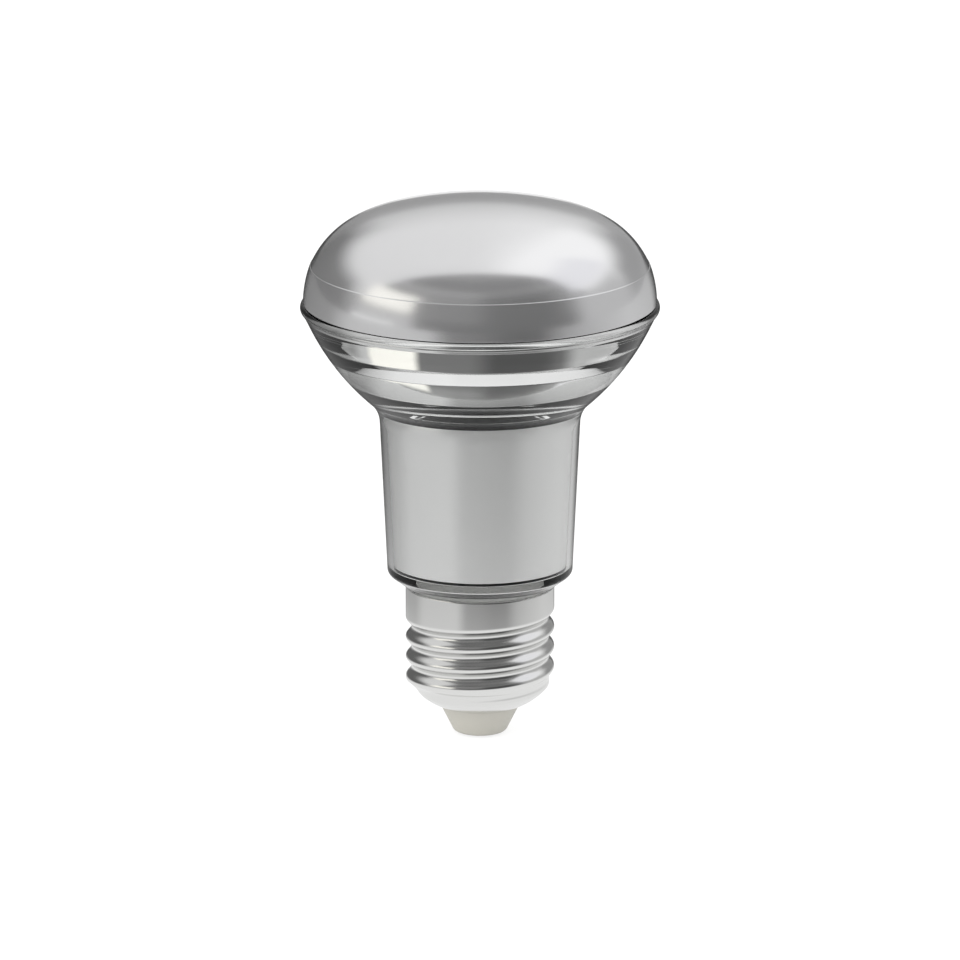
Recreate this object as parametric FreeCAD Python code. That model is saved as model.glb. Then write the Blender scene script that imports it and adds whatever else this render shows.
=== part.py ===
"""Reflector bulb: a clear glass body with a satin front cover, on a screw cap.

All lengths are in millimetres. The lamp axis is Z and the cap points down. The
origin is the lowest point of the centre contact, where a lampholder's spring
meets the lamp.
"""
import FreeCAD, Part
import math
import os

Vector = FreeCAD.Vector
UP = Vector(0, 0, 1)

# Screw cap
cap_height = 27.1
skirt_radius = 13.1
skirt_height = 2.69
thread_pitch = 3.629
thread_depth = 1.05
thread_run_on = 1.83
thread_lead_in = 0.35
thread_fade = 0.3
stations_per_pitch = 8
stations_per_turn = 40
skirt_seam = 0.001
shell_wall = 0.3
shell_cone_height = 4.8
shell_cone_bulge = 0.6
contact_proud = 0.35
contact_radius = 2.6
contact_face_inset = 0.78
contact_thickness = 0.8
contact_stem_radius = 0.9
contact_stem_length = 5.0
insulator_height = 4.9
insulator_tip_land = 2.0
insulator_flare = 2.6
insulator_hold = 2.1
insulator_round = 0.6
insulator_gap = 0.1
cement_wall = 0.5
cement_height = 3.6

# Glass body
shoulder_step = 0.4
shoulder_run = 2.8
shoulder_height = 2.65
shoulder_round = 0.4
neck_length = 27.0
neck_taper = 1.28
flare_run = 1.82
flare_height = 3.95
bowl_height = 14.25
bowl_bulge = 0.93
rim_radius = 31.5
rim_land = 2.0
rim_recess_depth = 1.2
lip_run = 1.3
lip_height = 3.2
lip_shoulder_run = 0.65
lip_shoulder_drop = 1.9
lip_bead_radius = 0.75
lip_bead_start = 135
glass_wall = 1.1
glass_floor = 2.0
glass_tube_run_on = 1.3

# Reflector steps, from the rim down
recess_slope_drop = 0.4
upper_step_height = 4.1
upper_step_glass = 1.2
ledge_drop = 2.4
lower_step_height = 4.6
lower_step_glass = 0.8
reflector_foot_step = 0.97
reflector_flange = 3.2
reflector_wall = 0.4

# Front cover
crease_height = 6.7
crease_inset = 1.85
crease_angle = 65.7
crease_ledge = 0.1
crown_radius = 70.5
cover_shoulder_radius = 23.6
cover_shoulder_angle = 28.4
knuckle_radius = 15.7
cover_wall = 1.5
band_inset = 0.5
band_bulge = 0.28
spigot_wall = 1.3
seal_thickness = 0.25
seal_inset = 0.25

# Heat sink, light source and neck seals
heat_sink_drop = 0.85
heat_sink_gap = 0.2
heat_sink_wall = 0.8
heat_sink_plate = 1.6
neck_seal_height = 2.1
neck_seal_overhang = 0.4
foot_seal_rise = 0.4
led_board_gap = 0.3
led_board_thickness = 1.6
led_count = 12
led_gap = 0.35
led_length = 3.5
led_width = 2.8
led_height = 0.7
screw_land = 3.0
screw_radius = 1.0
screw_length = 4.0
screw_head_radius = 1.9
screw_head_height = 1.3
screw_socket_radius = 0.9
screw_socket_depth = 0.7
wire_hole_radius = 2.5

# Driver housing and driver board
housing_wall = 1.1
housing_lift = 2.2
housing_tube_gap = 0.2
housing_side_gap = 0.5
housing_top_gap = 1.2
rail_depth = 1.3
rail_width = 1.0
board_thickness = 1.0
board_lift = 2.4
board_top_gap = 1.6
board_tube_gap = 1.4
board_rail_gap = 0.45

# Parts on the driver board, as heights above the board's step or below it
bulk_capacitor_radius = 4.0
bulk_capacitor_length = 14.0
bulk_capacitor_offset = 4.5
bulk_capacitor_rise = 2.55
output_capacitor_radius = 2.5
output_capacitor_length = 11.0
output_capacitor_offset = 5.5
capacitor_groove_depth = 0.25
capacitor_groove_height = 0.75
capacitor_groove_rise = 1.75
core_width = 10.0
core_depth = 4.5
core_height = 9.0
core_limb = 1.8
winding_depth = 6.5
winding_round = 0.9
film_capacitor_width = 8.0
film_capacitor_depth = 4.0
film_capacitor_height = 6.0
film_capacitor_rise = 0.75
rectifier_width = 6.0
rectifier_depth = 2.4
rectifier_height = 4.6
rectifier_fall = 3.85
chip_width = 5.0
chip_depth = 1.6
chip_height = 4.0
part_spacing = 1.3
fuse_radius = 1.5
fuse_length = 7.5
fuse_inset = 3.4
fuse_rise = 2.0
diode_radius = 1.2
diode_length = 4.6
wire_radius = 0.5
wire_bend = 1.6
wire_hole_clearance = 0.14
led_wire_tail = 2.0
led_wire_run = 3.7
led_wire_arch = 2.1
live_wire_lift = 2.4
neutral_wire_tail = 4.0
neutral_wire_lift = 1.5

# Small working clearances
seat_gap = 0.05
slide_gap = 0.1
touching = 1e-7

# Screw cap, from the tip up
insulator_tip_radius = contact_radius + insulator_tip_land
shell_mouth_radius = insulator_tip_radius + insulator_flare
insulator_visible_top = contact_proud + insulator_height
shell_mouth_height = insulator_visible_top + seat_gap
shell_cone_top = shell_mouth_height + shell_cone_height
insulator_top = shell_mouth_height + insulator_hold
skirt_bottom = cap_height - skirt_height
thread_top = skirt_bottom - (thread_lead_in + 0.5) * thread_pitch
thread_turns = (thread_top - shell_cone_top + thread_run_on) / thread_pitch

# Glass body, from the cap up
glass_bottom = cap_height + seat_gap
glass_floor_top = glass_bottom + glass_floor
glass_tube_radius = skirt_radius - shell_wall - slide_gap - cement_wall
glass_tube_bore = glass_tube_radius - glass_wall
glass_tube_length = skirt_height + glass_tube_run_on
shoulder_radius = skirt_radius + shoulder_step
neck_bottom_radius = shoulder_radius + shoulder_run
neck_bottom_height = glass_bottom + shoulder_height
neck_top_radius = neck_bottom_radius + neck_taper
neck_top_height = neck_bottom_height + neck_length
bowl_foot_radius = neck_top_radius + flare_run
bowl_foot_height = neck_top_height + flare_height
bowl_top_radius = rim_radius - lip_run
bowl_top_height = bowl_foot_height + bowl_height
rim_height = bowl_top_height + lip_height
rim_recess_radius = rim_radius - rim_land
rim_recess_floor = rim_height - rim_recess_depth

# What stands in the glass body
heat_sink_top = bowl_foot_height - heat_sink_drop
heat_sink_bottom = neck_bottom_height + glass_wall + foot_seal_rise
reflector_foot_height = heat_sink_top + neck_seal_height
seal_top = rim_height + seal_thickness
led_board_top = heat_sink_top + led_board_thickness
housing_tube_radius = glass_tube_bore - housing_tube_gap
housing_bottom = insulator_top + housing_lift
housing_top = heat_sink_top - heat_sink_plate - housing_top_gap
board_side = board_thickness / 2
board_bottom = housing_bottom + board_lift
board_step = heat_sink_bottom + housing_wall + seat_gap
board_top = housing_top - board_top_gap
board_lower_half_width = housing_tube_radius - housing_wall - board_tube_gap


class HalfSection:
    """A closed outline beside the axis, drawn point by point and turned into a solid."""

    def __init__(self, radius, height):
        self.start = Vector(radius, 0, height)
        self.at = self.start
        self.edges = []

    def line(self, radius, height):
        end = Vector(radius, 0, height)
        self.edges.append(Part.LineSegment(self.at, end).toShape())
        self.at = end

    def bulge(self, radius, height, rise):
        """An arc whose middle stands off the chord, to the right of its travel if positive."""
        end = Vector(radius, 0, height)
        chord = end - self.at
        side = Vector(chord.z, 0, -chord.x).normalize()
        middle = self.at + chord * 0.5 + side * rise
        self.edges.append(Part.Arc(self.at, middle, end).toShape())
        self.at = end

    def bend(self, radius, height):
        """An arc that leaves along the last edge's direction and ends at the point."""
        last = self.edges[-1]
        heading = last.tangentAt(last.LastParameter)
        chord = Vector(radius, 0, height) - self.at
        left = heading.x * chord.z - heading.z * chord.x
        turn = math.atan2(left, heading.dot(chord))
        self.bulge(radius, height, chord.Length / 2 * math.tan(turn / 2))

    def about(self, centre, radius, first, last):
        """An arc about a centre, between two angles from the upward direction."""
        points = [around(centre, radius, angle) for angle in (first, (first + last) / 2, last)]
        if (points[0] - self.at).Length > touching:
            self.line(points[0].x, points[0].z)
        self.edges.append(Part.Arc(*points).toShape())
        self.at = points[2]

    def turned(self):
        if (self.at - self.start).Length > touching:
            self.line(self.start.x, self.start.z)
        face = Part.Face(Part.Wire(self.edges))
        return face.revolve(Vector(0, 0, 0), UP, 360)


def around(centre, radius, angle):
    """The point at an angle from the upward direction, as seen from a (radius, height) centre."""
    return Vector(centre[0] + radius * math.sin(angle), 0, centre[1] + radius * math.cos(angle))


def ring(inner, outer, bottom, top):
    """A plain ring, or a disc where the inner radius is zero."""
    body = Part.makeCylinder(outer, top - bottom, Vector(0, 0, bottom))
    if inner > 0:
        body = body.cut(Part.makeCylinder(inner, top - bottom, Vector(0, 0, bottom)))
    return body


def block(size, centre_x, near_y, bottom, side=None):
    """A box centred on X that grows from near_y, away from the board unless a side is given."""
    width, depth, height = size
    outward = side or math.copysign(1, near_y)
    low_y = near_y if outward > 0 else near_y - depth
    return Part.makeBox(width, depth, height, Vector(centre_x - width / 2, low_y, bottom))


def rod(radius, points, bend_radius):
    """A round wire along straight runs joined by tangent arcs."""
    edges = []
    at = points[0]
    for before, corner, after in zip(points, points[1:], points[2:]):
        back = (before - corner).normalize()
        ahead = (after - corner).normalize()
        half = back.getAngle(ahead) / 2
        trim = bend_radius / math.tan(half)
        inset = bend_radius / math.sin(half) - bend_radius
        first = corner + back * trim
        last = corner + ahead * trim
        middle = corner + (back + ahead).normalize() * inset
        edges.append(Part.LineSegment(at, first).toShape())
        edges.append(Part.Arc(first, middle, last).toShape())
        at = last
    edges.append(Part.LineSegment(at, points[-1]).toShape())
    circle = Part.Wire(Part.makeCircle(radius, points[0], points[1] - points[0]))
    return Part.Wire(edges).makePipeShell([circle], True, False)


def beside(points, distance):
    """The (radius, height) line that runs a distance to the right of a line of points."""
    sides = []
    for first, last in zip(points, points[1:]):
        run = Vector(last[0] - first[0], last[1] - first[1], 0).normalize()
        normal = Vector(run.y, -run.x, 0) * distance
        sides.append((Vector(first[0], first[1], 0) + normal, Vector(last[0], last[1], 0) + normal, run))
    moved = [sides[0][0]]
    for (start, end, run), (next_start, next_end, next_run) in zip(sides, sides[1:]):
        cross = run.x * next_run.y - run.y * next_run.x
        gap = next_start - start
        moved.append(start + run * ((gap.x * next_run.y - gap.y * next_run.x) / cross))
    moved.append(sides[-1][1])
    return [(point.x, point.y) for point in moved]


def bulged_arc(start, end, rise):
    """Centre and radius of the arc between two (radius, height) points, bulged to the right."""
    run, climb = end[0] - start[0], end[1] - start[1]
    chord = math.hypot(run, climb)
    radius = (chord * chord / 4 + rise * rise) / (2 * rise)
    back = (radius - rise) / chord
    centre = ((start[0] + end[0]) / 2 - climb * back, (start[1] + end[1]) / 2 + run * back)
    return centre, radius


def smooth_step(value):
    value = min(max(value, 0.0), 1.0)
    return value * value * (3 - 2 * value)


def neck_radius(height):
    """The outside of the tapered neck, and of its line where that is carried on."""
    slope = (neck_top_radius - neck_bottom_radius) / (neck_top_height - neck_bottom_height)
    return neck_bottom_radius + slope * (height - neck_bottom_height)


def neck_bore(height):
    """The inside of the neck at a height."""
    return neck_radius(height) - glass_wall


# Screw cap

class ShellCone:
    """The rounded lower end of the shell, an arc from the mouth up to the skirt radius."""

    def __init__(self):
        low = (shell_mouth_radius, shell_mouth_height)
        high = (skirt_radius, shell_cone_top)
        (self.centre_r, self.centre_z), self.radius = bulged_arc(low, high, shell_cone_bulge)
        low_angle = math.atan2(low[1] - self.centre_z, low[0] - self.centre_r)
        high_angle = math.atan2(high[1] - self.centre_z, high[0] - self.centre_r)
        self.low_angle = low_angle
        self.sweep = high_angle - low_angle
        self.length = self.radius * self.sweep

    def point(self, share, inset):
        """A (radius, height) on the arc, from the mouth at 0 to the skirt at 1."""
        angle = self.low_angle + self.sweep * share
        reach = self.radius - inset
        return (self.centre_r + reach * math.cos(angle), self.centre_z + reach * math.sin(angle))

    def share_at(self, height, inset):
        angle = math.asin((height - self.centre_z) / (self.radius - inset))
        return (angle - self.low_angle) / self.sweep


shell_cone = ShellCone()


def thread_groove(angle, height):
    """How deep the rolled groove is at a point of the shell."""
    share = angle / (2 * math.pi)
    turns_down = (thread_top - height) / thread_pitch
    travel = round(turns_down + share) - share
    fade_in = smooth_step((travel + thread_lead_in) / thread_fade)
    fade_out = smooth_step((thread_turns - travel) / thread_fade)
    wave = (1 + math.cos(2 * math.pi * (turns_down - travel))) / 2
    return thread_depth * wave * fade_in * fade_out


def shell_line(inset):
    """The shell's outline below its plain skirt and without its thread, as (radius, height) stations."""
    spacing = thread_pitch / stations_per_pitch
    cone_count = round(shell_cone.length / spacing)
    stations = [shell_cone.point(number / cone_count, inset) for number in range(cone_count)]
    straight = skirt_bottom - shell_cone_top
    straight_count = round(straight / spacing)
    for number in range(straight_count + 1):
        stations.append((skirt_radius - inset, shell_cone_top + straight * number / straight_count))
    return stations


def shell_skin(inset):
    """One side of the rolled sheet, as a smooth surface through a full turn of points."""
    grid = []
    for step in range(stations_per_turn + 1):
        angle = 2 * math.pi * step / stations_per_turn
        column = []
        for radius, height in shell_line(inset):
            reach = radius - thread_groove(angle, height)
            column.append(Vector(reach * math.cos(angle), reach * math.sin(angle), height))
        grid.append(column)
    surface = Part.BSplineSurface()
    surface.interpolate(grid)
    return surface


def make_screw_shell():
    """The rolled sheet in two halves, sewn round both ends, with a plain skirt joined on top."""
    outside = shell_skin(0)
    inside = shell_skin(shell_wall)
    low, high = outside.bounds()[2:]
    faces = []
    for first, last in ((0, 0.5), (0.5, 1)):
        faces.append(outside.toShape(first, last, low, high))
        faces.append(inside.toShape(first, last, low, high))
        for end in (low, high):
            edges = [skin.vIso(end).toShape(first, last) for skin in (outside, inside)]
            faces.append(Part.makeRuledSurface(*edges))
    sheet = Part.Shell(faces)
    sheet.sewShape()
    rolled = Part.Solid(sheet)
    if rolled.Volume < 0:
        rolled.reverse()
    skirt = ring(skirt_radius - shell_wall, skirt_radius, skirt_bottom, cap_height)
    return rolled.fuse([skirt], skirt_seam).Solids[0]


def make_base_insulator():
    """A cone below the shell's mouth and a flange that fills the shell's rounded end."""
    inset = shell_wall + insulator_gap
    mouth_radius = shell_cone.point(0, inset)[0]
    tip_slope = (mouth_radius - insulator_tip_radius) / insulator_height
    flange_low = shell_cone.share_at(shell_mouth_height + shell_wall + insulator_gap, inset)
    flange_high = shell_cone.share_at(insulator_top - insulator_round, inset)
    bottom = contact_proud
    section = HalfSection(0, bottom)
    section.line(insulator_tip_radius - insulator_round, bottom)
    section.bend(insulator_tip_radius + insulator_round * tip_slope, bottom + insulator_round)
    section.line(mouth_radius, insulator_visible_top)
    low = shell_cone.point(max(flange_low, 0), inset)
    middle = shell_cone.point((flange_low + flange_high) / 2, inset)
    high = shell_cone.point(flange_high, inset)
    section.line(mouth_radius, low[1])
    section.line(low[0], low[1])
    section.line(middle[0], middle[1])
    section.line(high[0], high[1])
    section.line(high[0] - insulator_round, insulator_top)
    section.line(0, insulator_top)
    pocket = ring(0, contact_radius + seat_gap, 0, contact_thickness + seat_gap)
    bore = ring(0, contact_stem_radius + slide_gap, 0, insulator_top)
    return section.turned().cut(pocket).cut(bore)


def make_centre_contact():
    """A nail whose head is the lamp's lowest point."""
    section = HalfSection(0, 0)
    section.line(contact_radius - contact_face_inset, 0)
    section.bend(contact_radius, contact_proud)
    section.line(contact_radius, contact_thickness)
    section.line(contact_stem_radius, contact_thickness)
    section.line(contact_stem_radius, contact_thickness + contact_stem_length)
    section.line(0, contact_thickness + contact_stem_length)
    return section.turned()


def make_cap_cement():
    top = cap_height - seat_gap
    return ring(glass_tube_radius, skirt_radius - shell_wall - slide_gap, top - cement_height, top)


# Glass body, cover and reflector

def inner_shoulder():
    """The (radius, height) ends of the chamfer inside the glass, from the neck to the floor."""
    slope = (neck_bottom_radius - shoulder_radius) / (neck_bottom_height - glass_bottom)
    corner_height = neck_bottom_height + glass_wall
    corner_radius = neck_bore(corner_height)
    floor_radius = corner_radius - slope * (corner_height - glass_floor_top)
    return (corner_radius, corner_height), (floor_radius, glass_floor_top)


def bowl_radius(height):
    """The outside of the bowl at a height."""
    foot = (bowl_foot_radius, bowl_foot_height)
    (centre_r, centre_z), radius = bulged_arc(foot, (bowl_top_radius, bowl_top_height), bowl_bulge)
    return centre_r + math.sqrt(radius ** 2 - (height - centre_z) ** 2)


def step_line():
    """The stepped inside of the bowl, from the rim's recess down to the reflector's foot."""
    upper_top = rim_recess_floor - recess_slope_drop
    upper_bottom = upper_top - upper_step_height
    upper_radius = bowl_radius(upper_bottom) - upper_step_glass
    lower_top = upper_bottom - ledge_drop
    lower_bottom = lower_top - lower_step_height
    lower_radius = bowl_radius(lower_bottom) - lower_step_glass
    return [
        (rim_recess_radius, rim_recess_floor),
        (upper_radius, upper_top),
        (upper_radius, upper_bottom),
        (lower_radius, lower_top),
        (lower_radius, lower_bottom),
        (neck_bore(heat_sink_top) + reflector_foot_step, reflector_foot_height),
    ]


def make_glass_body():
    corner, floor_edge = inner_shoulder()
    section = HalfSection(glass_tube_bore, glass_bottom - glass_tube_length)
    section.line(glass_tube_radius, glass_bottom - glass_tube_length)
    section.line(glass_tube_radius, glass_bottom)
    section.line(shoulder_radius - shoulder_round, glass_bottom)
    section.bend(shoulder_radius, glass_bottom + shoulder_round)
    section.line(neck_bottom_radius - shoulder_round, neck_bottom_height - shoulder_round)
    section.bend(neck_bottom_radius, neck_bottom_height + shoulder_round)
    section.line(neck_top_radius, neck_top_height)
    section.bend(bowl_foot_radius, bowl_foot_height)
    section.bulge(bowl_top_radius, bowl_top_height, bowl_bulge)
    section.line(rim_radius - lip_shoulder_run, rim_height - lip_shoulder_drop)
    bead_centre = (rim_radius - lip_bead_radius, rim_height - lip_bead_radius)
    section.about(bead_centre, lip_bead_radius, math.radians(lip_bead_start), 0)
    section.line(rim_recess_radius, rim_height)
    for radius, height in step_line():
        section.line(radius, height)
    section.bend(neck_bore(heat_sink_top), heat_sink_top)
    section.line(*corner)
    section.line(*floor_edge)
    section.line(glass_tube_bore, glass_floor_top)
    return section.turned()


def reflector_opening():
    return neck_bore(heat_sink_top) + reflector_foot_step - reflector_flange


def make_reflector():
    """A thin bright liner pressed against the steps of the glass, with a flat foot."""
    line = step_line() + [(reflector_opening(), reflector_foot_height)]
    line[0] = (rim_recess_radius - slide_gap, rim_recess_floor)
    outside = beside(line, seat_gap)
    inside = beside(line, seat_gap + reflector_wall)
    section = HalfSection(*outside[0])
    for radius, height in outside[1:] + inside[::-1]:
        section.line(radius, height)
    return section.turned()


def make_front_cover():
    """Three tangent arcs from the crease up to the axis, a steep band below them and a spigot."""
    shoulder_angle = math.radians(cover_shoulder_angle)
    edge_angle = math.radians(crease_angle)
    crease = (rim_radius - crease_inset, rim_height + crease_height)
    knuckle_centre = around(crease, -knuckle_radius, edge_angle)
    knuckle_centre = (knuckle_centre.x, knuckle_centre.z)
    shoulder_centre = around(knuckle_centre, knuckle_radius - cover_shoulder_radius, shoulder_angle)
    shoulder_centre = (shoulder_centre.x, shoulder_centre.z)
    crown_angle = math.asin(shoulder_centre[0] / (crown_radius - cover_shoulder_radius))
    crown_centre = (0, around(shoulder_centre, cover_shoulder_radius - crown_radius, crown_angle).z)
    section = HalfSection(0, crown_centre[1] + crown_radius)
    section.about(crown_centre, crown_radius, 0, crown_angle)
    section.about(shoulder_centre, cover_shoulder_radius, crown_angle, shoulder_angle)
    section.about(knuckle_centre, knuckle_radius, shoulder_angle, edge_angle)
    section.line(crease[0] + crease_ledge, crease[1])
    section.bulge(rim_radius - band_inset, seal_top, -band_bulge)
    spigot_radius = rim_recess_radius - 2 * slide_gap
    spigot_bottom = rim_recess_floor + reflector_wall + 2 * seat_gap
    section.line(spigot_radius, seal_top)
    section.line(spigot_radius, spigot_bottom)
    section.line(spigot_radius - spigot_wall, spigot_bottom)
    section.line(spigot_radius - spigot_wall, seal_top)
    section.about(knuckle_centre, knuckle_radius - cover_wall, edge_angle, shoulder_angle)
    section.about(shoulder_centre, cover_shoulder_radius - cover_wall, shoulder_angle, crown_angle)
    section.about(crown_centre, crown_radius - cover_wall, crown_angle, 0)
    return section.turned()


def make_cover_seal():
    return ring(rim_recess_radius, rim_radius - band_inset - seal_inset, rim_height, seal_top)


# Heat sink, seals and light source

def heat_sink_outside(height):
    return neck_bore(height) - heat_sink_gap


def neck_seal_bore():
    return reflector_opening() - neck_seal_overhang


def led_board_radius():
    return neck_seal_bore() - led_board_gap


def screw_places():
    return [Vector(0, side * (wire_hole_radius + screw_land), 0) for side in (-1, 1)]


def make_heat_sink():
    """A tapered sleeve closed by a plate that carries the light source."""
    plate_bottom = heat_sink_top - heat_sink_plate
    section = HalfSection(0, heat_sink_top)
    section.line(0, plate_bottom)
    section.line(heat_sink_outside(plate_bottom) - heat_sink_wall, plate_bottom)
    section.line(heat_sink_outside(heat_sink_bottom) - heat_sink_wall, heat_sink_bottom)
    section.line(heat_sink_outside(heat_sink_bottom), heat_sink_bottom)
    section.line(heat_sink_outside(heat_sink_top), heat_sink_top)
    body = section.turned().cut(ring(0, wire_hole_radius, plate_bottom, heat_sink_top))
    for place in screw_places():
        hole = ring(0, screw_radius + seat_gap, plate_bottom, heat_sink_top)
        body = body.cut(hole.translated(place))
    return body


def make_neck_seal():
    return ring(neck_seal_bore(), heat_sink_outside(heat_sink_top), heat_sink_top, reflector_foot_height)


def make_foot_seal():
    """A ring that fills the chamfer inside the glass and carries sleeve and housing."""
    corner, floor_edge = inner_shoulder()
    section = HalfSection(glass_tube_bore, glass_floor_top)
    section.line(floor_edge[0] - slide_gap, glass_floor_top)
    section.line(corner[0] - slide_gap, corner[1])
    section.line(corner[0] - slide_gap, heat_sink_bottom)
    section.line(glass_tube_bore, heat_sink_bottom)
    return section.turned()


def make_led_board():
    body = ring(wire_hole_radius, led_board_radius(), heat_sink_top, led_board_top)
    for place in screw_places():
        hole = ring(0, screw_radius + slide_gap, heat_sink_top, led_board_top)
        body = body.cut(hole.translated(place))
    return body


def make_led_packages():
    """A ring of packages just outside the screw heads."""
    inner_side = wire_hole_radius + screw_land + screw_head_radius + led_gap
    packages = []
    for number in range(led_count):
        corner = Vector(inner_side, -led_width / 2, led_board_top)
        package = Part.makeBox(led_length, led_width, led_height, corner)
        packages.append(package.rotated(Vector(0, 0, 0), UP, 360 * (number + 0.5) / led_count))
    return Part.makeCompound(packages)


def make_board_screws():
    screws = []
    for place in screw_places():
        head = ring(0, screw_head_radius, led_board_top, led_board_top + screw_head_height)
        shank = ring(0, screw_radius, led_board_top - screw_length, led_board_top)
        top = led_board_top + screw_head_height
        socket = ring(0, screw_socket_radius, top - screw_socket_depth, top)
        screws.append(head.fuse(shank).cut(socket).translated(place))
    return Part.makeCompound(screws)


# Driver housing and driver board

def housing_outside():
    return heat_sink_outside(heat_sink_bottom) - heat_sink_wall - housing_side_gap


def make_driver_housing():
    """A narrow tube in the cap and a wide tube in the sleeve, with rails for the board."""
    outer = housing_outside()
    step_top = heat_sink_bottom + housing_wall
    section = HalfSection(housing_tube_radius - housing_wall, housing_bottom)
    section.line(housing_tube_radius, housing_bottom)
    section.line(housing_tube_radius, heat_sink_bottom)
    section.line(outer, heat_sink_bottom)
    section.line(outer, housing_top)
    section.line(outer - housing_wall, housing_top)
    section.line(outer - housing_wall, step_top)
    section.line(housing_tube_radius - housing_wall, step_top)
    body = section.turned()
    # The rails start in the middle of the wall and of the step, so that they join the tube.
    rooted = housing_wall / 2
    rail_bottom = step_top - rooted
    bore = ring(0, outer - rooted, rail_bottom, housing_top)
    size = (rail_depth + rooted, rail_width, housing_top - rail_bottom)
    for side in (-1, 1):
        for face in (-1, 1):
            centre_x = side * (outer - rooted - size[0] / 2)
            rail = block(size, centre_x, face * (board_side + slide_gap), rail_bottom)
            body = body.fuse(rail.common(bore))
    return body.removeSplitter()


def board_upper_half_width():
    return housing_outside() - housing_wall - board_rail_gap


def make_driver_board():
    lower = (2 * board_lower_half_width, board_thickness, board_step - board_bottom)
    upper = (2 * board_upper_half_width(), board_thickness, board_top - board_step)
    stem = block(lower, 0, -board_side, board_bottom, 1)
    head = block(upper, 0, -board_side, board_step, 1)
    return stem.fuse(head).removeSplitter()


def capacitor(radius, length, centre_x, bottom):
    """A can with a crimp groove near its lower end, on the front side of the board."""
    centre = Vector(centre_x, -board_side - radius, 0)
    groove_bottom = bottom + capacitor_groove_rise
    groove_top = groove_bottom + capacitor_groove_height
    can = ring(0, radius, bottom, bottom + length)
    groove = ring(radius - capacitor_groove_depth, radius, groove_bottom, groove_top)
    return can.cut(groove).translated(centre)


def make_bulk_capacitor():
    bottom = board_step + bulk_capacitor_rise
    return capacitor(bulk_capacitor_radius, bulk_capacitor_length, -bulk_capacitor_offset, bottom)


def make_output_capacitor():
    """Above the controller chip, on the same side of the board."""
    bottom = board_step + bulk_capacitor_rise + chip_height + 2 * part_spacing
    return capacitor(output_capacitor_radius, output_capacitor_length, output_capacitor_offset, bottom)


def make_controller_chip():
    size = (chip_width, chip_depth, chip_height)
    return block(size, output_capacitor_offset, -board_side, board_step + bulk_capacitor_rise)


def make_film_capacitor():
    size = (film_capacitor_width, film_capacitor_depth, film_capacitor_height)
    return block(size, 0, board_side, board_step + film_capacitor_rise)


def core_bottom():
    return board_step + film_capacitor_rise + film_capacitor_height + part_spacing


def make_transformer_core():
    """A frame with a middle limb, which leaves two windows for the winding."""
    near_y = board_side + (winding_depth - core_depth) / 2
    body = block((core_width, core_depth, core_height), 0, near_y, core_bottom())
    window_width = (core_width - 3 * core_limb) / 2
    window = (window_width, core_depth, core_height - 2 * core_limb)
    for side in (-1, 1):
        centre_x = side * (core_limb + window_width) / 2
        body = body.cut(block(window, centre_x, near_y, core_bottom() + core_limb))
    return body


def make_transformer_winding():
    wound_width = core_width - 2 * core_limb - 2 * slide_gap
    wound_height = core_height - 2 * core_limb - 2 * slide_gap
    bottom = core_bottom() + core_limb + slide_gap
    body = block((wound_width, winding_depth, wound_height), 0, board_side, bottom)
    upright = [edge for edge in body.Edges if edge.BoundBox.ZLength > wound_height / 2]
    body = body.makeFillet(winding_round, upright)
    limb = (core_limb + 2 * slide_gap, core_depth + 2 * slide_gap, wound_height)
    return body.cut(block(limb, 0, board_side + (winding_depth - limb[1]) / 2, bottom))


def make_bridge_rectifier():
    size = (rectifier_width, rectifier_depth, rectifier_height)
    return block(size, 0, -board_side, board_step - rectifier_fall - rectifier_height)


def make_output_diode():
    """Lies across the board above the bulk capacitor."""
    height = board_step + bulk_capacitor_rise + bulk_capacitor_length + part_spacing + diode_radius
    start = Vector(-bulk_capacitor_offset - diode_length / 2, -board_side - diode_radius, height)
    return Part.makeCylinder(diode_radius, diode_length, start, Vector(1, 0, 0))


def fuse_centre():
    return Vector(fuse_inset - board_lower_half_width, board_side + fuse_radius, board_bottom + fuse_rise)


def make_fuse_resistor():
    return Part.makeCylinder(fuse_radius, fuse_length, fuse_centre(), UP)


def make_led_wire(side):
    """From the driver board up through the sleeve's plate, over and down to a pad."""
    near_y = -board_side - wire_radius
    reach = wire_hole_radius - wire_radius - wire_hole_clearance
    start_x = side * math.sqrt(reach ** 2 - near_y ** 2)
    pad_x = start_x + side * led_wire_run
    top = led_board_top + led_wire_arch
    points = [
        Vector(start_x, near_y, board_top - led_wire_tail),
        Vector(start_x, near_y, top),
        Vector(pad_x, near_y, top),
        Vector(pad_x, near_y, led_board_top),
    ]
    return rod(wire_radius, points, wire_bend)


def make_live_wire():
    """From the contact nail up to the fuse resistor."""
    level = insulator_top + live_wire_lift
    below_fuse = Vector(fuse_centre().x, fuse_centre().y, level)
    points = [
        Vector(0, 0, contact_thickness + contact_stem_length),
        Vector(0, 0, level),
        below_fuse,
        fuse_centre(),
    ]
    return rod(wire_radius, points, wire_bend)


def make_neutral_wire():
    """From the driver board down and out to the inside of the shell."""
    near_y = board_side + wire_radius
    start_x = board_lower_half_width - fuse_inset
    level = insulator_top + neutral_wire_lift
    share = shell_cone.share_at(level - wire_radius, shell_wall)
    shell_reach = shell_cone.point(share, shell_wall)[0]
    points = [
        Vector(start_x, near_y, board_bottom + neutral_wire_tail),
        Vector(start_x, near_y, level),
        Vector(math.sqrt(shell_reach ** 2 - (near_y + wire_radius) ** 2) - slide_gap, near_y, level),
    ]
    return rod(wire_radius, points, wire_bend)


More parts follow.
